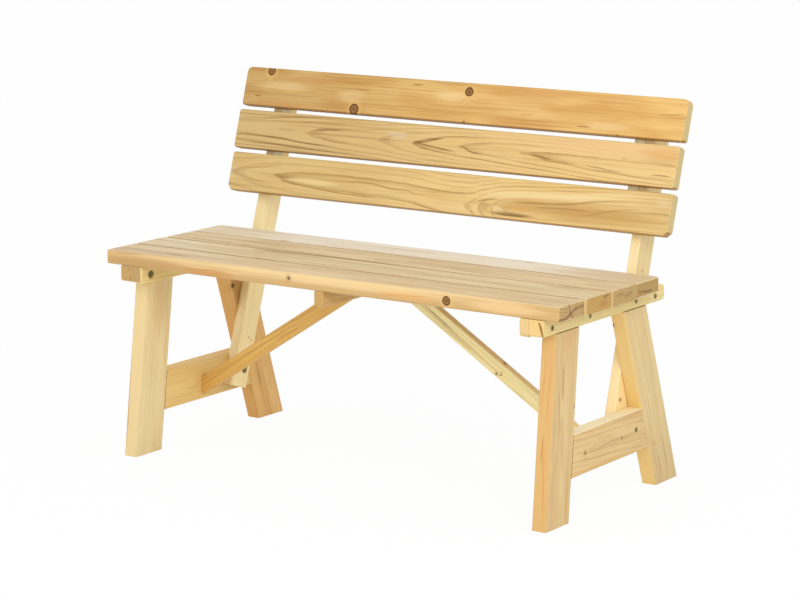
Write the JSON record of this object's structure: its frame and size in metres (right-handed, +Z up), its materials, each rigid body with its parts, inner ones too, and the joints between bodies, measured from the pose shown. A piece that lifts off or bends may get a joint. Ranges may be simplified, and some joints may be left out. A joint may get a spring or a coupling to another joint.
{
  "type": "garden bench",
  "caption": "Two-seat garden bench of sawn softwood boards: plank seat, raked slatted back, splayed coplanar end frames and diagonal braces to a centre batten.",
  "frame": {"origin": "centre of the bench's bounding box in plan, on the floor under the feet", "axes": "+X along the bench to the sitter's left as seen from the back, i.e. to the right seen from the front; +Y from the front edge of the seat to the back; +Z up"},
  "size_m": [1.104, 0.5536, 0.7768],
  "materials": {
    "seat_planks": "planed softwood, bare, matte",
    "back_slats": "planed softwood, bare, matte",
    "frame_timber": "planed softwood, bare, matte",
    "thin_boards": "planed softwood, bare, matte",
    "hardwood_dowel": "turned hardwood, bare",
    "zinc_plated_steel": "dull zinc plate"
  },
  "bodies": {
    "root": {"seat_plank_front": "seat_planks", "seat_plank_second": "seat_planks", "seat_plank_third": "seat_planks", "seat_plank_rear": "seat_planks", "backrest_slat_top": "back_slats", "backrest_slat_middle": "back_slats", "backrest_slat_bottom": "back_slats", "back_post_left": "thin_boards", "back_post_right": "thin_boards", "front_leg_left": "frame_timber", "front_leg_right": "frame_timber", "rear_leg_left": "frame_timber", "rear_leg_right": "frame_timber", "stretcher_left": "frame_timber", "stretcher_right": "frame_timber", "top_rail_left": "frame_timber", "top_rail_right": "frame_timber", "inner_cleat_left": "thin_boards", "inner_cleat_right": "thin_boards", "centre_batten": "thin_boards", "brace_left": "thin_boards", "brace_right": "thin_boards", "stretcher_dowels": "hardwood_dowel", "seat_screws": "zinc_plated_steel", "slat_screws": "zinc_plated_steel", "rail_screws": "zinc_plated_steel", "leg_screws": "zinc_plated_steel", "brace_screws": "zinc_plated_steel", "frame_bolts": "zinc_plated_steel", "bolt_washers": "zinc_plated_steel", "bolt_nuts": "zinc_plated_steel"}
  },
  "joints": []
}
